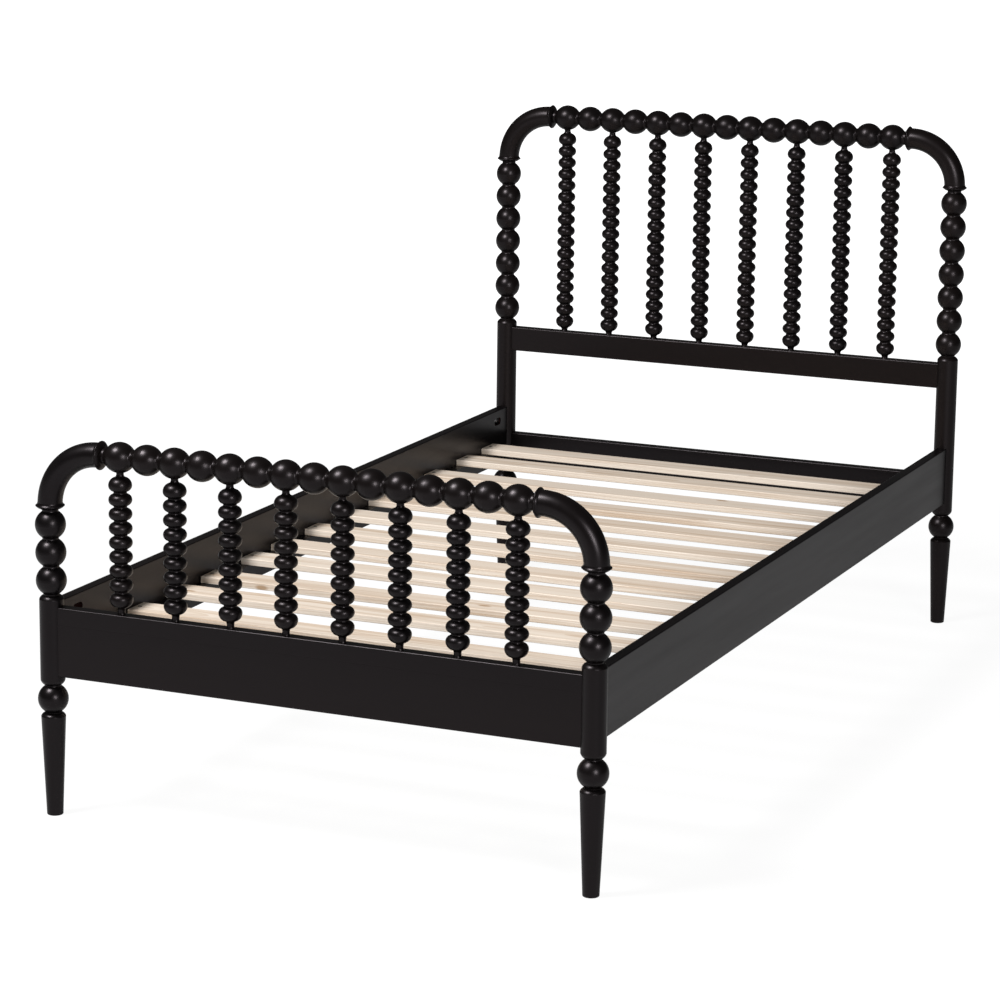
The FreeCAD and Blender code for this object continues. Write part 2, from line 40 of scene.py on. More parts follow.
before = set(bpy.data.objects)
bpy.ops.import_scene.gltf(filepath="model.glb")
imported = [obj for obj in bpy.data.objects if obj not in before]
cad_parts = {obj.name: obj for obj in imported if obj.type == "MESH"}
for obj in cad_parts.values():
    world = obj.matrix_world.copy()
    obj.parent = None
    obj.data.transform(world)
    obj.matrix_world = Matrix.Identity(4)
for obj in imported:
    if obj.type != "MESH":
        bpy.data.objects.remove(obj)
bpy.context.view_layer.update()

# Which way the wood's grain runs, as the name of an axis
ACROSS = "X"
ALONG = "Y"
UPRIGHT = "Z"

ENDS = ("foot", "head")
SIDES = ("left", "right")
SPINDLES = 8
SLATS = 13

POSTS = [f"{end}_{side}_post" for end in ENDS for side in SIDES]
BENDS = [f"{end}_{side}_bend" for end in ENDS for side in SIDES]
BALL_RAILS = [f"{end}_ball_rail" for end in ENDS]
SPINDLE_NODES = [f"{end}_spindle_{number + 1}" for end in ENDS for number in range(SPINDLES)]
LEDGES = [f"{side}_ledge" for side in SIDES]
SLAT_NODES = [f"slat_{number + 1:02d}" for number in range(SLATS)]
DOWEL_NODES = [f"{end}_board_dowels" for end in ENDS]

# Sizes of the fixings, the same as those of the frame's plain ones
MILLIMETRE = 0.001
SCREW_RADIUS = 2.0 * MILLIMETRE
SCREW_HEAD_RADIUS = 4.0 * MILLIMETRE
SCREW_HEAD_HEIGHT = 2.4 * MILLIMETRE
SCREW_LENGTH = 33.0 * MILLIMETRE
SCREW_TIP = 3.0 * MILLIMETRE
STUD_RADIUS = 3.0 * MILLIMETRE
NUT_FLATS = 10.0 * MILLIMETRE
NUT_THICKNESS = 5.0 * MILLIMETRE
HALF_MOON_RADIUS = 7.9 * MILLIMETRE
HALF_MOON_WIDTH = 13.0 * MILLIMETRE
HALF_MOON_HOLE = 3.3 * MILLIMETRE


def middle(node):
    low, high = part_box(node)
    return (low + high) / 2


def slat_pitch():
    return (middle(SLAT_NODES[-1]).y - middle(SLAT_NODES[0]).y) / (SLATS - 1)


def span(node, axis):
    """Least and greatest distance from the middle of the bed at which a mirrored group has its parts."""
    distances = [abs(vertex.co[axis]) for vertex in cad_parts[node].data.vertices]
    return min(distances), max(distances)


def stud_heights():
    low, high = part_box("rail_studs")
    return low.z + STUD_RADIUS, high.z - STUD_RADIUS


def stud_line():
    """Distance of the studs' middle lines from the middle of the bed, sideways."""
    return sum(span("rail_studs", 0)) / 2


def solid_middle(node, side, low_y, high_y):
    """Middle of the one solid that a group of CAD parts has on a side of the bed between two values of y."""
    points = [vertex.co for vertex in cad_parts[node].data.vertices
              if vertex.co.x * side > 0 and low_y < vertex.co.y < high_y]
    lows = [min(point[axis] for point in points) for axis in range(3)]
    highs = [max(point[axis] for point in points) for axis in range(3)]
    return Vector([(low + high) / 2 for low, high in zip(lows, highs)])


# Settings


class PaintSettings(bpy.types.PropertyGroup):
    """Satin black paint on the turned parts and boards"""

    colour: bpy.props.FloatVectorProperty(
        name="Colour", description="Colour of the paint", subtype="COLOR", size=3,
        default=(0.0025, 0.0021, 0.0023),
    )
    warm: bpy.props.FloatVectorProperty(
        name="Thin coat", description="Colour where the coat is thinner", subtype="COLOR", size=3,
        default=(0.0056, 0.0040, 0.0037),
    )
    roughness: bpy.props.FloatProperty(
        name="Roughness", description="How matt the paint is", subtype="FACTOR", min=0, max=1, default=0.32
    )
    gloss: bpy.props.FloatProperty(
        name="Gloss", description="How strongly the paint mirrors", subtype="FACTOR", min=0, max=1,
        default=0.24,
    )
    sheen: bpy.props.FloatVectorProperty(
        name="Sheen", description="Tint of what the paint mirrors", subtype="COLOR", size=3,
        default=(1.0, 0.89, 0.94),
    )
    seam: bpy.props.FloatProperty(
        name="Seam", description="Top edge of the foot panel to the joint between its two boards",
        unit="LENGTH", default=0.030,
    )
    # Dark red-brown inside the pockets: the wood's own tint, darkened as painted shade of the pockets
    shaded_pocket_wood: bpy.props.FloatVectorProperty(
        name="Shaded pocket wood", description="Wood inside the pockets of the side rails", subtype="COLOR", size=3,
        default=(0.0160, 0.0050, 0.0045),
    )
    relief: bpy.props.FloatProperty(
        name="Grain relief", description="Depth of the wood grain that shows through", unit="LENGTH",
        default=0.00004,
    )


class SlatSettings(bpy.types.PropertyGroup):
    """Bare pine of the slats"""

    light: bpy.props.FloatVectorProperty(
        name="Early wood", description="Pale wood between the growth lines", subtype="COLOR", size=3,
        default=(0.85, 0.745, 0.635),
    )
    dark: bpy.props.FloatVectorProperty(
        name="Late wood", description="Wood of the growth lines", subtype="COLOR", size=3,
        default=(0.52, 0.350, 0.215),
    )
    knot: bpy.props.FloatVectorProperty(
        name="Knots", description="Colour of the knots", subtype="COLOR", size=3, default=(0.48, 0.32, 0.20)
    )
    rings: bpy.props.FloatProperty(
        name="Growth rings", description="Spacing of the growth rings", unit="LENGTH", default=0.0035
    )


class FixingSettings(bpy.types.PropertyGroup):
    """Screws, studs, nuts and half moons"""

    zinc: bpy.props.FloatVectorProperty(
        name="Zinc", description="Colour of the studs and nuts", subtype="COLOR", size=3,
        default=(0.62, 0.62, 0.64),
    )
    # Zinc darkened far below its own colour: painted shade of the pockets that the half moons sit in
    darkened: bpy.props.FloatVectorProperty(
        name="Zinc with painted shade", description="Colour of the half moons", subtype="COLOR", size=3,
        default=(0.05, 0.048, 0.048),
    )
    black: bpy.props.FloatVectorProperty(
        name="Black screws", description="Colour of the wood screws", subtype="COLOR", size=3,
        default=(0.020, 0.018, 0.017),
    )
    recess: bpy.props.FloatProperty(
        name="Recess", description="Width of the cross recess in a screw", unit="LENGTH", default=0.0048
    )
    screw_pitch: bpy.props.FloatProperty(
        name="Screw thread", description="Pitch of a wood screw", unit="LENGTH", default=0.0018
    )
    stud_pitch: bpy.props.FloatProperty(
        name="Stud thread", description="Pitch of a stud", unit="LENGTH", default=0.001
    )


class StageSettings(bpy.types.PropertyGroup):
    """Floor, lamps and camera"""

    floor: bpy.props.FloatProperty(
        name="Floor", description="Width of the floor", unit="LENGTH", default=80.0
    )
    key: bpy.props.FloatProperty(
        name="Key lamp", description="Power of the lamp above the foot end on the left", unit="POWER",
        default=300.0,
    )
    side: bpy.props.FloatProperty(
        name="Side lamp", description="Power of the lamp far off on the right", unit="POWER", default=340.0
    )
    air: bpy.props.FloatProperty(
        name="Air", description="Even light from all round", min=0.0, default=0.05
    )


SETTINGS = {
    "bed_paint": PaintSettings,
    "bed_slats": SlatSettings,
    "bed_fixings": FixingSettings,
    "bed_stage": StageSettings,
}


# Nodes for materials


def add_node(tree, kind, values=None, **settings):
    """Adds a node. Settings are its own choices, values go to its input sockets by name or number."""
    node = tree.nodes.new(kind)
    for name, setting in settings.items():
        setattr(node, name, setting)
    for socket, value in (values or {}).items():
        if isinstance(value, bpy.types.NodeSocket):
            tree.links.new(value, node.inputs[socket])
        else:
            node.inputs[socket].default_value = value
    return node


def do_math(tree, operation, first, second=0.0):
    """A Math node's result. Each value is a number or another node's output."""
    return add_node(tree, "ShaderNodeMath", {0: first, 1: second}, operation=operation).outputs[0]


def swing(tree, chance, width):
    """Turns a chance from 0 to 1 into a value that swings half the width to each side of 0."""
    return do_math(tree, "MULTIPLY", do_math(tree, "SUBTRACT", chance, 0.5), width)


def add_share(tree, value, other, share):
    """Adds a share of another value to a value."""
    return do_math(tree, "ADD", value, do_math(tree, "MULTIPLY", other, share))


def ramp(tree, value, start, end, low=0.0, high=1.0):
    """Goes from low to high while a value goes from start to end."""
    limits = {"From Min": start, "From Max": end, "To Min": low, "To Max": high}
    return add_node(tree, "ShaderNodeMapRange", {"Value": value, **limits}).outputs[0]


def noise(tree, place, scale, detail, roughness=0.5):
    values = {"Vector": place, "Scale": scale, "Detail": detail, "Roughness": roughness}
    return add_node(tree, "ShaderNodeTexNoise", values).outputs[0]


def stretch(tree, place, scale):
    """Coordinates scaled along each axis, which draws a pattern out where the scale is small."""
    return add_node(tree, "ShaderNodeMapping", {"Vector": place, "Scale": scale}).outputs[0]


def blend_colours(tree, factor, first, second):
    """A Mix node's colour. Its sockets 0, 6 and 7 are the factor and the two colours, and 2 the result."""
    return add_node(tree, "ShaderNodeMix", {0: factor, 6: first, 7: second}, data_type="RGBA").outputs[2]


def place_group(tree, group, values):
    return add_node(tree, "ShaderNodeGroup", values, node_tree=group).outputs


def new_group(name, inputs, outputs):
    """Shader node group with its input and output nodes. Inputs and outputs give name and socket kind."""
    tree = bpy.data.node_groups.new(name, "ShaderNodeTree")
    for label, kind in inputs:
        tree.interface.new_socket(name=label, in_out="INPUT", socket_type=kind)
    for label, kind in outputs:
        tree.interface.new_socket(name=label, in_out="OUTPUT", socket_type=kind)
    given = tree.nodes.new("NodeGroupInput").outputs
    result = tree.nodes.new("NodeGroupOutput").inputs
    return tree, given, result


def coat_group():
    """Paint over wood: how colour, gloss and relief vary with the grain below the coat."""
    if "Paint over wood" in bpy.data.node_groups:
        return bpy.data.node_groups["Paint over wood"]
    tree, given, result = new_group(
        "Paint over wood",
        [("Vector", "NodeSocketVector"), ("Coat", "NodeSocketColor"), ("Thin coat", "NodeSocketColor"),
         ("Roughness", "NodeSocketFloat")],
        [("Color", "NodeSocketColor"), ("Roughness", "NodeSocketFloat"), ("Height", "NodeSocketFloat")],
    )
    gloss_change = 0.16
    peel_share = 0.35
    streaks = noise(tree, given["Vector"], scale=38.0, detail=5.0, roughness=0.6)
    clouds = noise(tree, given["Vector"], scale=3.2, detail=3.0)
    peel = noise(tree, given["Vector"], scale=160.0, detail=1.0)
    thin = ramp(tree, clouds, 0.38, 0.72)
    tree.links.new(blend_colours(tree, thin, given["Coat"], given["Thin coat"]), result["Color"])
    rough = do_math(tree, "ADD", given["Roughness"], swing(tree, streaks, gloss_change))
    tree.links.new(rough, result["Roughness"])
    tree.links.new(add_share(tree, streaks, peel, peel_share), result["Height"])
    return tree


def pine_group():
    """Pine sawn along X: growth rings round a trunk axis of each slat's own, streaks, fibres and knots."""
    if "Pine" in bpy.data.node_groups:
        return bpy.data.node_groups["Pine"]
    tree, given, result = new_group(
        "Pine",
        [("Vector", "NodeSocketVector"), ("Early wood", "NodeSocketColor"),
         ("Late wood", "NodeSocketColor"), ("Knots", "NodeSocketColor"),
         ("Ring spacing", "NodeSocketFloat"), ("Slat pitch", "NodeSocketFloat")],
        [("Color", "NodeSocketColor"), ("Roughness", "NodeSocketFloat"), ("Height", "NodeSocketFloat")],
    )
    parts = add_node(tree, "ShaderNodeSeparateXYZ", {0: given["Vector"]}).outputs
    number = do_math(tree, "ROUND", do_math(tree, "DIVIDE", parts["Y"], given["Slat pitch"]))
    chance = add_node(tree, "ShaderNodeTexWhiteNoise", {"W": number}, noise_dimensions="1D").outputs["Color"]
    luck = add_node(tree, "ShaderNodeSeparateColor", {0: chance}).outputs
    apart = {0: chance, "Scale": 40.0}
    own_place = add_node(tree, "ShaderNodeVectorMath", apart, operation="SCALE").outputs[0]
    shifted = {0: given["Vector"], 1: own_place}
    own_vector = add_node(tree, "ShaderNodeVectorMath", shifted, operation="ADD").outputs[0]

    level = 0.31  # height that the depth of the trunk's axis is taken from
    least_depth = 0.015
    spread = 0.10  # range of that depth, and of the axis to and fro beside the slat's middle
    ring_sway = 0.030
    line_sharpness = 2.6
    bend = noise(tree, stretch(tree, own_vector, (0.9, 6.0, 6.0)), scale=1.6, detail=2.0)
    beside = do_math(tree, "SUBTRACT", parts["Y"], do_math(tree, "MULTIPLY", number, given["Slat pitch"]))
    beside = do_math(tree, "ADD", beside, swing(tree, luck[0], spread))
    below = do_math(tree, "ADD", do_math(tree, "MULTIPLY", luck[1], spread), least_depth)
    below = do_math(tree, "ADD", below, do_math(tree, "SUBTRACT", parts["Z"], level))
    squares = [do_math(tree, "POWER", length, 2.0) for length in (beside, below)]
    radius = do_math(tree, "SQRT", do_math(tree, "ADD", *squares))
    radius = do_math(tree, "ADD", radius, swing(tree, bend, ring_sway))
    ring = do_math(tree, "FRACT", do_math(tree, "DIVIDE", radius, given["Ring spacing"]))
    line = do_math(tree, "POWER", ring, line_sharpness)

    fibre = noise(tree, stretch(tree, own_vector, (7.0, 420.0, 420.0)), scale=1.0, detail=3.0)
    streak = noise(tree, stretch(tree, own_vector, (1.3, 52.0, 52.0)), scale=1.0, detail=2.0)
    streak = ramp(tree, streak, 0.45, 0.72)
    cells = {"Vector": stretch(tree, own_vector, (3.4, 9.0, 9.0)), "Scale": 1.0}
    from_knot = add_node(tree, "ShaderNodeTexVoronoi", cells, feature="F1").outputs["Distance"]
    knot = ramp(tree, from_knot, 0.030, 0.055, low=1.0, high=0.0)

    line_share, streak_share, fibre_share, slat_share = 0.42, 0.50, 0.60, 0.18
    darker = do_math(tree, "MULTIPLY", line, line_share)
    darker = add_share(tree, darker, streak, streak_share)
    darker = do_math(tree, "ADD", darker, swing(tree, fibre, fibre_share))
    darker = do_math(tree, "ADD", darker, swing(tree, luck[2], slat_share))
    wood = blend_colours(tree, darker, given["Early wood"], given["Late wood"])
    tree.links.new(blend_colours(tree, knot, wood, given["Knots"]), result["Color"])
    least_roughness, fibre_roughness, line_relief = 0.48, 0.20, 0.4
    tree.links.new(add_share(tree, least_roughness, fibre, fibre_roughness), result["Roughness"])
    tree.links.new(add_share(tree, fibre, line, line_relief), result["Height"])
    return tree


def plating_group():
    """Plated steel: fine mottle in gloss and colour."""
    if "Plating" in bpy.data.node_groups:
        return bpy.data.node_groups["Plating"]
    tree, given, result = new_group(
        "Plating",
        [("Vector", "NodeSocketVector"), ("Metal", "NodeSocketColor")],
        [("Color", "NodeSocketColor"), ("Roughness", "NodeSocketFloat")],
    )
    tarnish = (0.02, 0.02, 0.02, 1.0)
    tarnish_share = 0.30
    least_roughness = 0.22
    mottle = noise(tree, given["Vector"], scale=900.0, detail=3.0)
    darkened = blend_colours(tree, tarnish_share, given["Metal"], tarnish)
    tree.links.new(blend_colours(tree, mottle, given["Metal"], darkened), result["Color"])
    tree.links.new(add_share(tree, least_roughness, mottle, 0.25), result["Roughness"])
    return tree


def new_material(name):
    """Material with its Principled shader, and the object coordinates that its patterns read."""
    material = bpy.data.materials.new(name)
    material.use_nodes = True
    tree = material.node_tree
    shader = tree.nodes["Principled BSDF"]
    coordinates = tree.nodes.new("ShaderNodeTexCoord").outputs["Object"]
    return material, tree, shader, coordinates


def solid_colour(colour):
    return (colour[0], colour[1], colour[2], 1.0)


def start_paint(name, grain):
    """Paint material with its gloss set, and the sockets of its coordinates, colour and relief."""
    settings = bpy.context.scene.bed_paint
    material, tree, shader, coordinates = new_material(name)
    along_grain = 0.06
    scale = [along_grain if axis == grain else 1.0 for axis in (ACROSS, ALONG, UPRIGHT)]
    coat = place_group(tree, coat_group(), {
        "Vector": stretch(tree, coordinates, scale),
        "Coat": solid_colour(settings.colour),
        "Thin coat": solid_colour(settings.warm),
        "Roughness": settings.roughness,
    })
    tree.links.new(coat["Roughness"], shader.inputs["Roughness"])
    shader.inputs["Specular IOR Level"].default_value = settings.gloss
    shader.inputs["Specular Tint"].default_value = solid_colour(settings.sheen)
    return material, coordinates, coat["Color"], coat["Height"]


def add_relief(tree, height, strength, depth):
    """Bumps the surface of a material with a pattern of heights."""
    bump = add_node(tree, "ShaderNodeBump", {"Strength": strength, "Distance": depth, "Height": height})
    tree.links.new(bump.outputs[0], tree.nodes["Principled BSDF"].inputs["Normal"])


def finish_paint(material, colour, height):
    """Gives a paint its colour and relief."""
    tree = material.node_tree
    tree.links.new(colour, tree.nodes["Principled BSDF"].inputs["Base Color"])
    add_relief(tree, height, 0.5, bpy.context.scene.bed_paint.relief)


def paint(grain):
    """Satin black paint over wood whose grain runs along the given axis."""
    name = "Satin black, grain along " + grain
    if name not in bpy.data.materials:
        material, _, colour, height = start_paint(name, grain)
        finish_paint(material, colour, height)
    return bpy.data.materials[name]


def panel_paint():
    """The paint of the foot panel, which shows a fine line where its two boards are glued."""
    material, coordinates, colour, height = start_paint("Satin black, foot panel", ACROSS)
    tree = material.node_tree
    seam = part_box("foot_panel")[1].z - bpy.context.scene.bed_paint.seam
    half_width = 1.2 * MILLIMETRE
    depth = 4.0  # of the line, in depths of the grain
    upright = add_node(tree, "ShaderNodeSeparateXYZ", {0: coordinates}).outputs["Z"]
    off = do_math(tree, "ABSOLUTE", do_math(tree, "SUBTRACT", upright, seam))
    groove = ramp(tree, off, 0.0, half_width, low=-depth, high=0.0)
    finish_paint(material, colour, do_math(tree, "ADD", height, groove))
    return material


def rail_paint():
    """The paint of the side rails, and inside their pockets the wood's red-brown, darkened as painted shade.
    """
    material, coordinates, colour, height = start_paint("Satin black, side rails", ALONG)
    tree = material.node_tree
    parts = add_node(tree, "ShaderNodeSeparateXYZ", {0: coordinates}).outputs
    outward = do_math(tree, "ABSOLUTE", parts["X"])
    low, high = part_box("right_side_rail")
    skin = 1.0 * MILLIMETRE
    edge = 4.0 * MILLIMETRE
    inside = do_math(tree, "GREATER_THAN", outward, low.x + skin)
    limits = (
        (outward, high.x - skin, "LESS_THAN"),
        (parts["Z"], low.z + edge, "GREATER_THAN"),
        (parts["Z"], high.z - edge, "LESS_THAN"),
    )
    for value, limit, operation in limits:
        inside = do_math(tree, "MULTIPLY", inside, do_math(tree, operation, value, limit))
    # Inside the pockets the wood's red-brown is darkened: painted shade of the recess
    shaded_pocket_wood = solid_colour(bpy.context.scene.bed_paint.shaded_pocket_wood)
    finish_paint(material, blend_colours(tree, inside, colour, shaded_pocket_wood), height)
    return material


def pine():
    if "Pine slats" in bpy.data.materials:
        return bpy.data.materials["Pine slats"]
    settings = bpy.context.scene.bed_slats
    material, tree, shader, coordinates = new_material("Pine slats")
    wood = place_group(tree, pine_group(), {
        "Vector": coordinates,
        "Early wood": solid_colour(settings.light),
        "Late wood": solid_colour(settings.dark),
        "Knots": solid_colour(settings.knot),
        "Ring spacing": settings.rings,
        "Slat pitch": slat_pitch(),
    })
    tree.links.new(wood["Color"], shader.inputs["Base Color"])
    tree.links.new(wood["Roughness"], shader.inputs["Roughness"])
    add_relief(tree, wood["Height"], 0.4, 0.2 * MILLIMETRE)
    return material


def beech():
    if "Beech dowels" in bpy.data.materials:
        return bpy.data.materials["Beech dowels"]
    material, tree, shader, coordinates = new_material("Beech dowels")
    flecked = (0.62, 0.42, 0.26, 1.0)
    clear = (0.72, 0.53, 0.36, 1.0)
    fleck = noise(tree, stretch(tree, coordinates, (0.1, 1.0, 1.0)), scale=300.0, detail=2.0)
    tree.links.new(blend_colours(tree, fleck, flecked, clear), shader.inputs["Base Color"])
    shader.inputs["Roughness"].default_value = 0.6
    return material


def plated(name, colour, metallic=1.0):
    """Plated steel of a colour. Phosphate black is not metallic."""
    if name in bpy.data.materials:
        return bpy.data.materials[name]
    material, tree, shader, coordinates = new_material(name)
    metal = place_group(tree, plating_group(), {"Vector": coordinates, "Metal": solid_colour(colour)})
    tree.links.new(metal["Color"], shader.inputs["Base Color"])
    tree.links.new(metal["Roughness"], shader.inputs["Roughness"])
    shader.inputs["Metallic"].default_value = metallic
    return material


# Tools for modelling

THREAD_STEPS = 12  # faces round one turn of a thread
LAID_ALONG = Matrix.Rotation(-math.pi / 2, 4, ACROSS)  # turns what stands upright to lie along the bed


def give(material, names):
    """Puts a material on CAD nodes, whose meshes stay as they are."""
    for name in names:
        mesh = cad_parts[name].data
        mesh.materials.clear()
        mesh.materials.append(material)


def turned_blank(name, radius, bottom, top, steps=24):
    """Cylinder upright on the origin's axis, from which a piece is shaped."""
    bpy.ops.mesh.primitive_cylinder_add(
        vertices=steps, radius=radius, depth=top - bottom, location=(0, 0, (top + bottom) / 2)
    )
    bpy.ops.object.transform_apply(location=True, rotation=False, scale=False)
    blank = bpy.context.object
    blank.name = name
    return blank


def make_active(piece):
    bpy.ops.object.select_all(action="DESELECT")
    piece.select_set(True)
    bpy.context.view_layer.objects.active = piece


def open_piece(piece):
    """Opens a piece in edit mode with nothing in it selected."""
    make_active(piece)
    bpy.ops.object.mode_set(mode="EDIT")
    bpy.ops.mesh.select_mode(type="FACE")
    bpy.ops.mesh.select_all(action="DESELECT")


def close_piece():
    bpy.ops.object.mode_set(mode="OBJECT")


def select_end(piece, way):
    """Selects only the faces of an open piece that look up (1) or down (-1)."""
    bpy.ops.mesh.select_all(action="DESELECT")
    mesh = bmesh.from_edit_mesh(piece.data)
    for face in mesh.faces:
        if face.normal.z * way > 0.99:
            face.select_set(True)
    bmesh.update_edit_mesh(piece.data)


def extrude(rise, width=1.0):
    """Draws out what is selected along Z and widens it by a factor."""
    bpy.ops.mesh.extrude_region_move(TRANSFORM_OT_translate={"value": (0, 0, rise)})
    bpy.ops.transform.resize(value=(width, width, 1))


def shape_with(piece, kind, **settings):
    """Adds a modifier to a piece and applies it."""
    make_active(piece)
    modifier = piece.modifiers.new(kind, kind)
    for name, value in settings.items():
        setattr(modifier, name, value)
    bpy.ops.object.modifier_apply(modifier=modifier.name)


def cut_with(piece, tool, operation="DIFFERENCE"):
    """Cuts a piece with another, or joins them. The other is used up."""
    shape_with(piece, "BOOLEAN", object=tool, operation=operation, solver="EXACT")
    bpy.data.objects.remove(tool, do_unlink=True)


def cut_across(height, keep_above):
    """Cuts the open piece square at a height, drops one side and closes the cut."""
    bpy.ops.mesh.select_all(action="SELECT")
    bpy.ops.mesh.bisect(
        plane_co=(0, 0, height), plane_no=(0, 0, 1), use_fill=True,
        clear_inner=keep_above, clear_outer=not keep_above,
    )


def threaded_rod(name, core, crest, pitch, turns):
    """Threaded rod from the origin up: a V that the Screw modifier winds up, cut square at both ends."""
    spare_turns = 2
    bpy.ops.mesh.primitive_plane_add(size=core, location=(core, 0, 0))
    bpy.ops.object.transform_apply(location=True, rotation=False, scale=False)
    rod = bpy.context.object
    rod.name = name
    bpy.ops.object.mode_set(mode="EDIT")
    bpy.ops.mesh.select_mode(type="VERT")
    bpy.ops.mesh.select_all(action="SELECT")
    bpy.ops.mesh.merge(type="CENTER")
    for outward in (crest - core, core - crest):
        bpy.ops.mesh.extrude_region_move(TRANSFORM_OT_translate={"value": (outward, 0, pitch / 2)})
    close_piece()
    shape_with(
        rod, "SCREW", screw_offset=pitch, iterations=turns + spare_turns,
        steps=THREAD_STEPS, render_steps=THREAD_STEPS,
    )
    open_piece(rod)
    bpy.ops.mesh.select_all(action="SELECT")
    bpy.ops.mesh.remove_doubles(threshold=pitch / 50)
    start = pitch * 1.01
    cut_across(start, True)
    cut_across(start + turns * pitch, False)
    bpy.ops.mesh.select_all(action="SELECT")
    bpy.ops.mesh.normals_make_consistent(inside=False)
    bpy.ops.transform.translate(value=(0, 0, -start))
    close_piece()
    return rod


def clean_and_smooth(piece):
    """Merges the slivers that cuts leave, and smooths the round surfaces."""
    open_piece(piece)
    bpy.ops.mesh.select_all(action="SELECT")
    bpy.ops.mesh.remove_doubles(threshold=0.01 * MILLIMETRE)
    bpy.ops.mesh.dissolve_degenerate(threshold=0.005 * MILLIMETRE)
    close_piece()
    bpy.ops.object.shade_smooth_by_angle(angle=math.radians(30))


def place_copies(master, name, node, places):
    """Puts a copy of a piece at each place instead of a group of CAD parts. The master is used up."""
    clean_and_smooth(master)
    for number, place in enumerate(places):
        piece = master.copy()
        piece.data = master.data.copy()
        piece.data.transform(place)
        piece.name = f"{name}_{number + 1:02d}"
        bpy.context.collection.objects.link(piece)
        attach(piece, "root")
        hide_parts(node)
    bpy.data.objects.remove(master, do_unlink=True)


def corner_places(place):
    """Places at the four corners and both heights, from the one at the head's right corner at height 0."""
    turns = [Matrix.Identity(4)] + [Matrix.Rotation(math.pi, 4, axis) for axis in (ACROSS, ALONG, UPRIGHT)]
    rises = [Matrix.Translation((0, 0, height)) for height in stud_heights()]
    return [rise @ turn @ place for rise in rises for turn in turns]


def wood_screw():
    """Countersunk screw with a cross recess, pointing down from the origin."""
    settings = bpy.context.scene.bed_fixings
    rim = 0.3 * MILLIMETRE
    core = 1.3 * MILLIMETRE
    crest = SCREW_RADIUS - 0.07 * MILLIMETRE  # less than the shank, so that the two cut cleanly
    overlap = 0.4 * MILLIMETRE
    recess_depth = 2.0 * MILLIMETRE
    blade_width = 0.9 * MILLIMETRE
    blade_taper = 0.4
    turns = 9
    thread_start = SCREW_TIP - SCREW_LENGTH
    thread_end = thread_start + turns * settings.screw_pitch
    screw = turned_blank("screw", SCREW_RADIUS, thread_end - overlap, -SCREW_HEAD_HEIGHT)
    open_piece(screw)
    select_end(screw, 1)
    extrude(SCREW_HEAD_HEIGHT - rim, SCREW_HEAD_RADIUS / SCREW_RADIUS)
    extrude(rim)
    close_piece()
    thread = threaded_rod("screw_thread", core, crest, settings.screw_pitch, turns)
    open_piece(thread)
    select_end(thread, -1)
    extrude(-SCREW_TIP)
    bpy.ops.mesh.merge(type="CENTER")
    bpy.ops.mesh.select_all(action="SELECT")
    bpy.ops.transform.translate(value=(0, 0, thread_start))
    close_piece()
    cut_with(screw, thread, "UNION")
    for width, thickness in ((settings.recess, blade_width), (blade_width, settings.recess)):
        bpy.ops.mesh.primitive_cube_add(size=1.0, scale=(width, thickness, 2 * recess_depth))
        bpy.ops.object.transform_apply(location=False, rotation=False, scale=True)
        blade = bpy.context.object
        open_piece(blade)
        select_end(blade, -1)
        bpy.ops.transform.resize(value=(blade_taper, blade_taper, 1))
        close_piece()
        cut_with(screw, blade)
    screw.data.materials.append(plated("Black steel", settings.black, metallic=0.0))
    return screw


# Operators


class BED_OT_turned_parts(bpy.types.Operator):
    """Paint the posts, bends, ball rails and spindles"""

    bl_idname = "bed.turned_parts"
    bl_label = "Turned parts"

    def execute(self, context):
        give(paint(UPRIGHT), POSTS + BENDS + SPINDLE_NODES)
        give(paint(ACROSS), BALL_RAILS)
        return {"FINISHED"}


class BED_OT_boards(bpy.types.Operator):
    """Paint the boards of the end frames, the side rails and the ledges"""

    bl_idname = "bed.boards"
    bl_label = "Boards"

    def execute(self, context):
        give(panel_paint(), ["foot_panel"])
        give(paint(ACROSS), ["head_lower_panel", "head_mid_rail"])
        give(rail_paint(), [f"{side}_side_rail" for side in SIDES])
        give(paint(ALONG), LEDGES)
        return {"FINISHED"}


class BED_OT_slats(bpy.types.Operator):
    """Give the slats their pine and the dowels their beech"""

    bl_idname = "bed.slats"
    bl_label = "Slats and dowels"

    def execute(self, context):
        give(pine(), SLAT_NODES)
        give(beech(), DOWEL_NODES)
        return {"FINISHED"}


class BED_OT_slat_screws(bpy.types.Operator):
    """Make the screws that hold the slats, one at each end of each slat"""

    bl_idname = "bed.slat_screws"
    bl_label = "Slat screws"

    def execute(self, context):
        places = []
        for slat in SLAT_NODES:
            low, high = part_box(slat)
            for side in (-1, 1):
                centre = solid_middle("slat_screws", side, low.y, high.y)
                places.append(Matrix.Translation((centre.x, centre.y, high.z)))
        place_copies(wood_screw(), "slat_screw", "slat_screws", places)
        return {"FINISHED"}


class BED_OT_ledge_screws(bpy.types.Operator):
    """Make the screws that hold the ledges to the side rails, in every second gap between slats"""

    bl_idname = "bed.ledge_screws"
    bl_label = "Ledge screws"

    def execute(self, context):
        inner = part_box("right_ledge")[0].x
        places = []
        for number in range(0, SLATS - 1, 2):
            near, far = middle(SLAT_NODES[number]).y, middle(SLAT_NODES[number + 1]).y
            for side in (-1, 1):
                centre = solid_middle("ledge_screws", side, near, far)
                turn = Matrix.Rotation(-side * math.pi / 2, 4, ALONG)
                places.append(Matrix.Translation((side * inner, centre.y, centre.z)) @ turn)
        place_copies(wood_screw(), "ledge_screw", "ledge_screws", places)
        return {"FINISHED"}


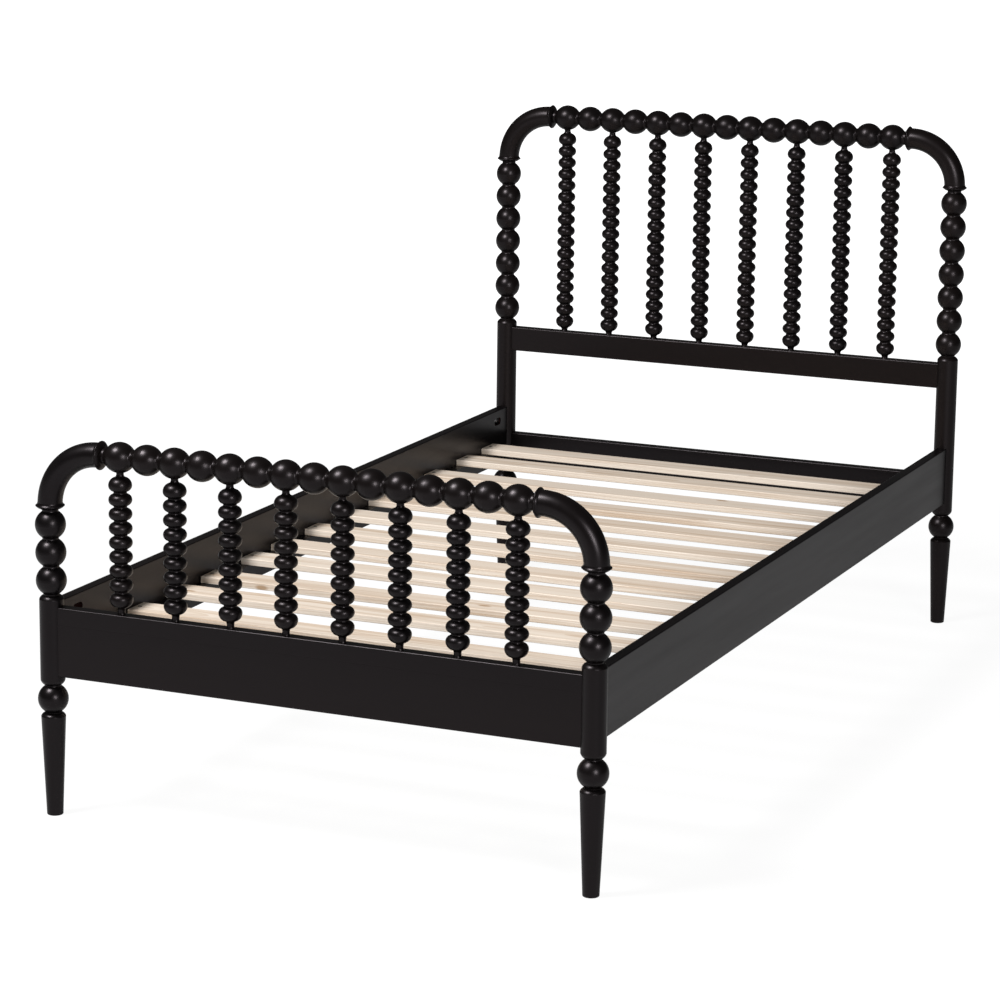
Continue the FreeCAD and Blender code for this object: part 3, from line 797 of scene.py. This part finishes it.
class BED_OT_studs(bpy.types.Operator):
    """Make the threaded studs that run from the posts into the side rails"""

    bl_idname = "bed.studs"
    bl_label = "Studs"

    def execute(self, context):
        settings = context.scene.bed_fixings
        point = 0.6 * MILLIMETRE
        point_taper = 0.85
        core = STUD_RADIUS - 0.5 * MILLIMETRE
        near, far = span("rail_studs", 1)
        turns = int((far - near - 2 * point) / settings.stud_pitch)
        stud = threaded_rod("stud", core, STUD_RADIUS, settings.stud_pitch, turns)
        open_piece(stud)
        for way in (1, -1):
            select_end(stud, way)
            extrude(way * point, point_taper)
        close_piece()
        stud.data.materials.append(plated("Zinc", settings.zinc))
        place = Matrix.Translation((stud_line(), near + point, 0)) @ LAID_ALONG
        place_copies(stud, "rail_stud", "rail_studs", corner_places(place))
        return {"FINISHED"}


class BED_OT_nuts(bpy.types.Operator):
    """Make the hexagon nuts on the studs, with their corners chamfered"""

    bl_idname = "bed.nuts"
    bl_label = "Nuts"

    def execute(self, context):
        settings = context.scene.bed_fixings
        corner = NUT_FLATS / math.sqrt(3)
        chamfer = (corner - NUT_FLATS / 2) * math.tan(math.radians(30))
        gap = 0.05 * MILLIMETRE
        nut = turned_blank("nut", corner, 0, NUT_THICKNESS, steps=6)
        disc = turned_blank("disc", corner, chamfer, NUT_THICKNESS - chamfer, steps=36)
        open_piece(disc)
        for way in (1, -1):
            select_end(disc, way)
            extrude(way * chamfer, NUT_FLATS / 2 / corner)
        close_piece()
        cut_with(nut, disc, "INTERSECT")
        cut_with(nut, turned_blank("hole", STUD_RADIUS + gap, -NUT_THICKNESS, 2 * NUT_THICKNESS))
        nut.data.materials.append(plated("Zinc", settings.zinc))
        on_stud = Matrix.Translation((stud_line(), span("rail_nuts", 1)[0], 0))
        place = on_stud @ LAID_ALONG @ Matrix.Rotation(math.pi / 6, 4, UPRIGHT)
        place_copies(nut, "rail_nut", "rail_nuts", corner_places(place))
        return {"FINISHED"}


class BED_OT_half_moons(bpy.types.Operator):
    """Make the half moons that the nuts pull against, each with a hole for the stud and rounded edges"""

    bl_idname = "bed.half_moons"
    bl_label = "Half moons"

    def execute(self, context):
        settings = context.scene.bed_fixings
        inner, outer = span("rail_half_moons", 0)
        half = HALF_MOON_WIDTH / 2
        edge = 0.4 * MILLIMETRE
        moon = turned_blank("half_moon", HALF_MOON_RADIUS, -half, half, steps=40)
        open_piece(moon)
        bpy.ops.mesh.select_all(action="SELECT")
        bpy.ops.mesh.bisect(plane_co=(0, 0, 0), plane_no=(0, 1, 0), use_fill=True, clear_inner=True)
        close_piece()
        moon.data.transform(Matrix.Rotation(math.pi / 2, 4, ALONG))
        shape_with(moon, "BEVEL", width=edge, segments=2, limit_method="ANGLE")
        hole = turned_blank("hole", HALF_MOON_HOLE, -2 * half, 2 * half)
        hole.data.transform(Matrix.Rotation(math.pi / 2, 4, ACROSS))
        hole.data.transform(Matrix.Translation((stud_line() - (inner + outer) / 2, 0, 0)))
        cut_with(moon, hole)
        # The half moons get zinc darkened as painted shade of their pockets
        moon.data.materials.append(plated("Zinc with painted shade", settings.darkened))
        place = Matrix.Translation(((inner + outer) / 2, span("rail_half_moons", 1)[0], 0))
        place_copies(moon, "rail_half_moon", "rail_half_moons", corner_places(place))
        return {"FINISHED"}


# Camera at the photograph's angle, turned to the bed without a shift: place in metres, turn, tilt and
# roll in degrees, and focal length and sensor in millimetres
CAMERA_PLACE = (2.5394, -6.0690, 1.9000)
CAMERA_AZIMUTH = 23.438
CAMERA_ELEVATION = 12.715
CAMERA_ROLL = 0.686
CAMERA_LENS = 125.907
CAMERA_SENSOR = 36.0
CAMERA_REACH = 200.0

# Lamps, in metres
KEY_LAMP_PLACE = (-1.8, -2.7, 4.4)
KEY_LAMP_SIZE = 1.5
SIDE_LAMP_PLACE = (5.6, -6.5, 3.0)
SIDE_LAMP_SIZE = 2.0
LAMP_AIM = (0.0, 0.0, 0.4)

WHITE = (1.0, 1.0, 1.0, 1.0)


def add_lamp(name, place, size, power):
    """Square soft lamp at a place, turned to the bed."""
    bpy.ops.object.light_add(type="AREA", location=place)
    lamp = bpy.context.object
    lamp.name = name
    lamp.data.shape = "SQUARE"
    lamp.data.size = size
    lamp.data.energy = power
    lamp.rotation_euler = (Vector(LAMP_AIM) - Vector(place)).to_track_quat("-Z", "Y").to_euler()


def floor_material():
    """Grey floor with a white glow over it, which the camera sees most of and gloss a little.

    Near the bed a part of the grey shows through with its shadow, and far off the glow is all."""
    material, tree, shader, coordinates = new_material("Floor")
    glow_strength = 1.25
    glow_near, glow_far = 0.75, 1.0
    glow_in_gloss = 0.20
    near, far = 1.6, 5.0
    shader.inputs["Base Color"].default_value = (0.42, 0.42, 0.42, 1.0)
    shader.inputs["Roughness"].default_value = 0.9
    shader.inputs["Specular IOR Level"].default_value = 0.0
    glow = add_node(tree, "ShaderNodeEmission", {"Color": WHITE, "Strength": glow_strength})
    rays = tree.nodes.new("ShaderNodeLightPath").outputs
    away = add_node(tree, "ShaderNodeVectorMath", {0: coordinates}, operation="LENGTH").outputs["Value"]
    seen = do_math(tree, "MULTIPLY", rays["Is Camera Ray"], ramp(tree, away, near, far, glow_near, glow_far))
    mirrored = do_math(tree, "MULTIPLY", rays["Is Glossy Ray"], glow_in_gloss)
    share = do_math(tree, "MAXIMUM", seen, mirrored)
    mixed = add_node(tree, "ShaderNodeMixShader", {0: share, 1: shader.outputs[0], 2: glow.outputs[0]})
    tree.links.new(mixed.outputs[0], tree.nodes["Material Output"].inputs["Surface"])
    return material


def add_floor(width):
    bpy.ops.mesh.primitive_plane_add(size=width)
    floor = bpy.context.object
    floor.name = "floor"
    floor.data.materials.append(floor_material())


def set_air(scene, strength):
    """Even white light of a strength from all round, at full white where the camera looks past the floor."""
    world = scene.world or bpy.data.worlds.new("World")
    scene.world = world
    world.use_nodes = True
    tree = world.node_tree
    background = tree.nodes["Background"]
    background.inputs["Color"].default_value = WHITE
    seen = tree.nodes.new("ShaderNodeLightPath").outputs["Is Camera Ray"]
    tree.links.new(do_math(tree, "MAXIMUM", seen, strength), background.inputs["Strength"])


def add_camera(scene):
    bpy.ops.object.camera_add(location=CAMERA_PLACE)
    camera = bpy.context.object
    camera.name = "photo_camera"
    turn = Matrix.Rotation(math.radians(CAMERA_AZIMUTH), 4, "Z")
    tilt = Matrix.Rotation(math.radians(90 - CAMERA_ELEVATION), 4, "X")
    roll = Matrix.Rotation(math.radians(CAMERA_ROLL), 4, "Z")
    camera.matrix_world = Matrix.Translation(CAMERA_PLACE) @ turn @ tilt @ roll
    camera.data.sensor_width = CAMERA_SENSOR
    camera.data.lens = CAMERA_LENS
    camera.data.clip_end = CAMERA_REACH
    scene.camera = camera


class BED_OT_stage(bpy.types.Operator):
    """Set up the floor, the lamps, the world and the camera"""

    bl_idname = "bed.stage"
    bl_label = "Stage"

    def execute(self, context):
        settings = context.scene.bed_stage
        add_floor(settings.floor)
        add_lamp("key_lamp", KEY_LAMP_PLACE, KEY_LAMP_SIZE, settings.key)
        add_lamp("side_lamp", SIDE_LAMP_PLACE, SIDE_LAMP_SIZE, settings.side)
        set_air(context.scene, settings.air)
        context.scene.view_settings.view_transform = "Standard"
        add_camera(context.scene)
        return {"FINISHED"}


OPERATORS = (
    BED_OT_turned_parts,
    BED_OT_boards,
    BED_OT_slats,
    BED_OT_slat_screws,
    BED_OT_ledge_screws,
    BED_OT_studs,
    BED_OT_nuts,
    BED_OT_half_moons,
    BED_OT_stage,
)


class BED_PT_panel(bpy.types.Panel):
    """The steps that dress the bed, and their settings"""

    bl_idname = "BED_PT_panel"
    bl_label = "Spindle bed"
    bl_space_type = "VIEW_3D"
    bl_region_type = "UI"
    bl_category = "Spindle bed"

    def draw(self, context):
        for name, group in SETTINGS.items():
            box = self.layout.box()
            box.label(text=group.__doc__)
            for field in group.__annotations__:
                box.prop(getattr(context.scene, name), field)
        for operator in OPERATORS:
            self.layout.operator(operator.bl_idname)


def register():
    for name, group in SETTINGS.items():
        bpy.utils.register_class(group)
        setattr(bpy.types.Scene, name, bpy.props.PointerProperty(type=group))
    for kind in OPERATORS + (BED_PT_panel,):
        bpy.utils.register_class(kind)


def unregister():
    for kind in reversed(OPERATORS + (BED_PT_panel,)):
        bpy.utils.unregister_class(kind)
    for name, group in SETTINGS.items():
        delattr(bpy.types.Scene, name)
        bpy.utils.unregister_class(group)


def main():
    register()
    bpy.ops.object.select_all(action="DESELECT")
    bpy.ops.bed.turned_parts()
    bpy.ops.bed.boards()
    bpy.ops.bed.slats()
    bpy.ops.bed.slat_screws()
    bpy.ops.bed.ledge_screws()
    bpy.ops.bed.studs()
    bpy.ops.bed.nuts()
    bpy.ops.bed.half_moons()
    bpy.ops.bed.stage()


if __name__ == "__main__":
    main()
